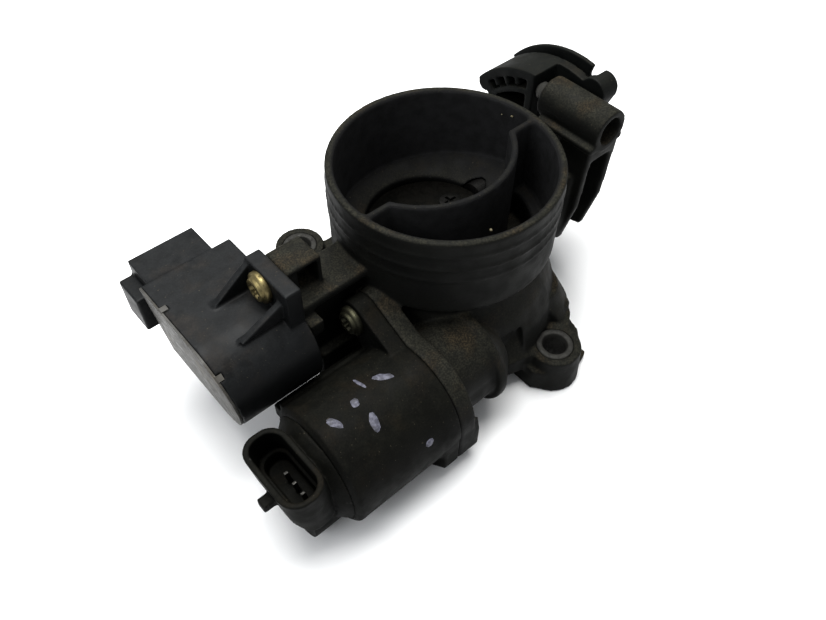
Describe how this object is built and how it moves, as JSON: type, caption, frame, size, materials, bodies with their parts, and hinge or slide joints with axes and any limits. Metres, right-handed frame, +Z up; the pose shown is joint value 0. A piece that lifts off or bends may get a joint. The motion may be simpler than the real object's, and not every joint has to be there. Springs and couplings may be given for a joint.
{
  "type": "throttle body",
  "caption": "Cable-operated plastic throttle body: ridged air collar with a crescent divider, cable quadrant, rotary position sensor and side-mounted idle air valve.",
  "frame": {"origin": "throat axis at the manifold face", "axes": "+Z up the throat towards the air duct, +X along the throttle shaft towards the cable quadrant, +Y away from the idle valve"},
  "size_m": [0.1486, 0.0973, 0.0656],
  "materials": {
    "housing_plastic": "glass-filled nylon moulding, dusty, satin",
    "quadrant_plastic": "black moulded plastic, satin",
    "sensor_plastic": "black PBT moulding, slight blue sheen",
    "valve_plastic": "black moulded case, dusty",
    "rotor_plastic": "natural acetal",
    "potting_resin": "cream potting resin",
    "track_board": "printed resistance track board",
    "seal_rubber": "black rubber",
    "zinc_steel": "dull zinc",
    "shaft_steel": "ground steel",
    "spring_steel": "oiled spring steel",
    "gold_zinc_steel": "yellow-passivated steel",
    "tinned_contact": "tinned contact",
    "magnet_ferrite": "sintered magnet",
    "copper_winding": "enamelled winding",
    "plate_brass": "dull brass",
    "bronze": "sintered bronze",
    "shutter_aluminium": "machined"
  },
  "bodies": {
    "housing": {"throttle_housing": "housing_plastic", "mounting_sleeves": "zinc_steel", "manifold_seal": "seal_rubber", "idle_stop_screw": "zinc_steel", "bearing_sensor_side": "bronze", "bearing_lever_side": "bronze", "shaft_seals": "seal_rubber", "return_spring": "spring_steel", "sensor_body": "sensor_plastic", "sensor_end_plate": "potting_resin", "sensor_track": "track_board", "sensor_terminals": "tinned_contact", "sensor_seal": "seal_rubber", "sensor_screws": "gold_zinc_steel", "valve_case": "valve_plastic", "valve_end_cap": "valve_plastic", "valve_pins": "tinned_contact", "valve_stator": "copper_winding", "valve_bearings": "zinc_steel", "valve_seal": "seal_rubber", "valve_screws": "gold_zinc_steel"},
    "throttle": {"throttle_shaft": "shaft_steel", "throttle_plate": "plate_brass", "plate_screws": "shaft_steel", "cable_quadrant": "quadrant_plastic", "quadrant_washer": "zinc_steel", "quadrant_nut": "zinc_steel", "sensor_rotor": "rotor_plastic"},
    "idle_rotor": {"valve_spindle": "shaft_steel", "valve_magnet": "magnet_ferrite", "valve_shutter": "shutter_aluminium"}
  },
  "joints": [
    {"name": "throttle_turn", "type": "hinge", "parent": "housing", "child": "throttle", "pos_m": [0, 0, 0.034], "axis": [-1, 0, 0], "range_deg": [0, 80], "stiffness_Nm_per_rad": 0.25, "springref_deg": -20.05},
    {"name": "valve_turn", "type": "hinge", "parent": "housing", "child": "idle_rotor", "pos_m": [-0.03, -0.033, 0.0174], "axis": [1, 0, 0], "range_deg": [0, 60], "stiffness_Nm_per_rad": 0.02, "springref_deg": -11.46}
  ]
}
